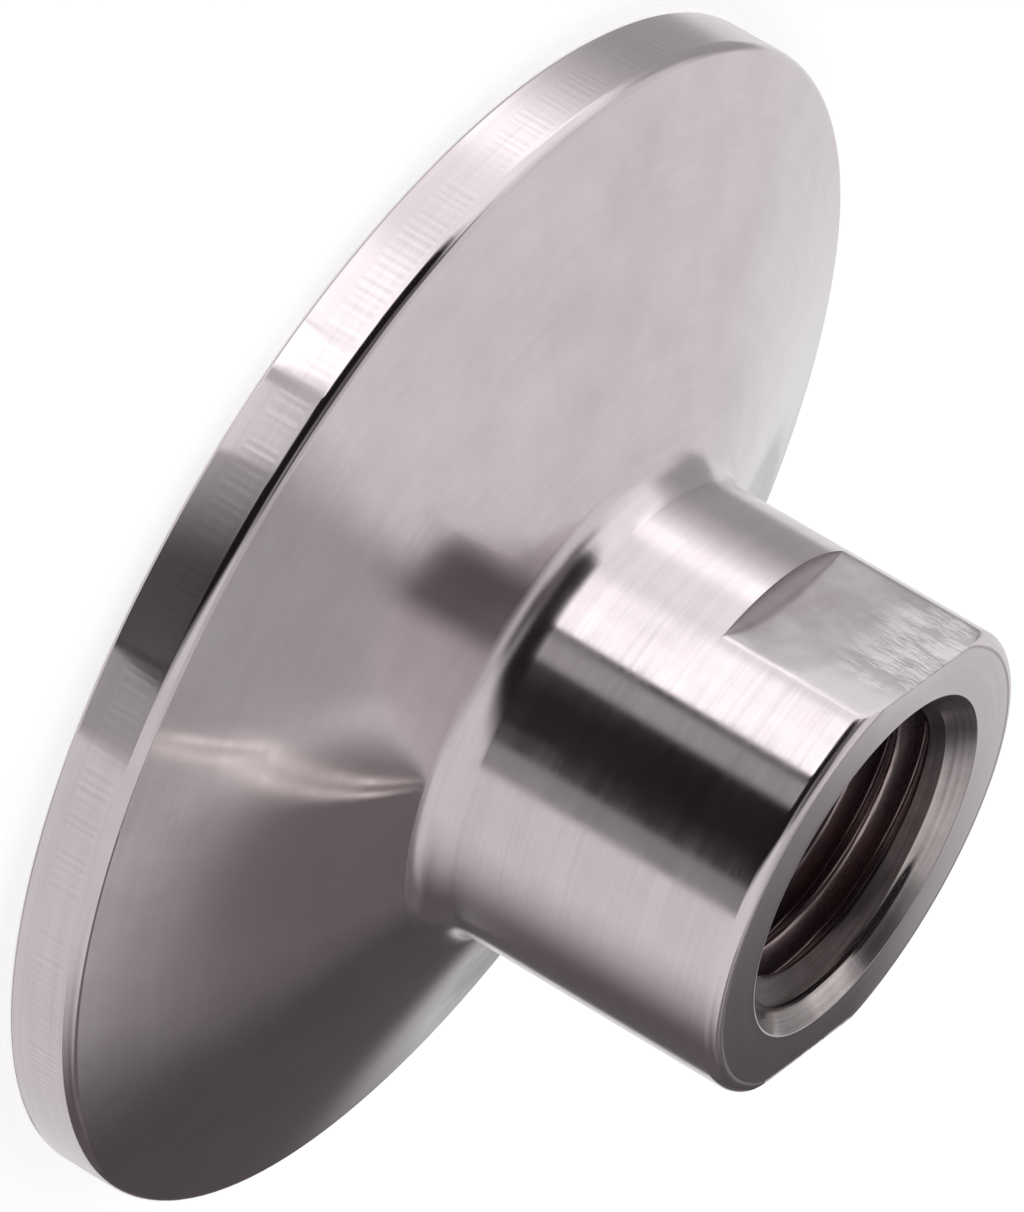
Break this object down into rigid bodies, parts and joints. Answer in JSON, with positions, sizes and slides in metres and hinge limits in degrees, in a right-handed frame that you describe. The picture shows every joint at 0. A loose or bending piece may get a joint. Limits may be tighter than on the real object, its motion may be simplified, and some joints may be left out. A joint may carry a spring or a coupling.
{
  "type": "sanitary clamp adapter",
  "caption": "Sanitary clamp flange with a gasket groove and a boss that holds a threaded socket, with wrench flats at its end, turned from stainless bar.",
  "frame": {"origin": "centre of the clamp face, on the axis", "axes": "+Z along the axis, from the clamp face up the boss; the wrench flats face -Y and +Y"},
  "size_m": [0.0506, 0.0504, 0.0216],
  "materials": {
    "stainless": "fine turned, bright"
  },
  "bodies": {
    "root": {"adapter_body": "stainless"}
  },
  "joints": []
}
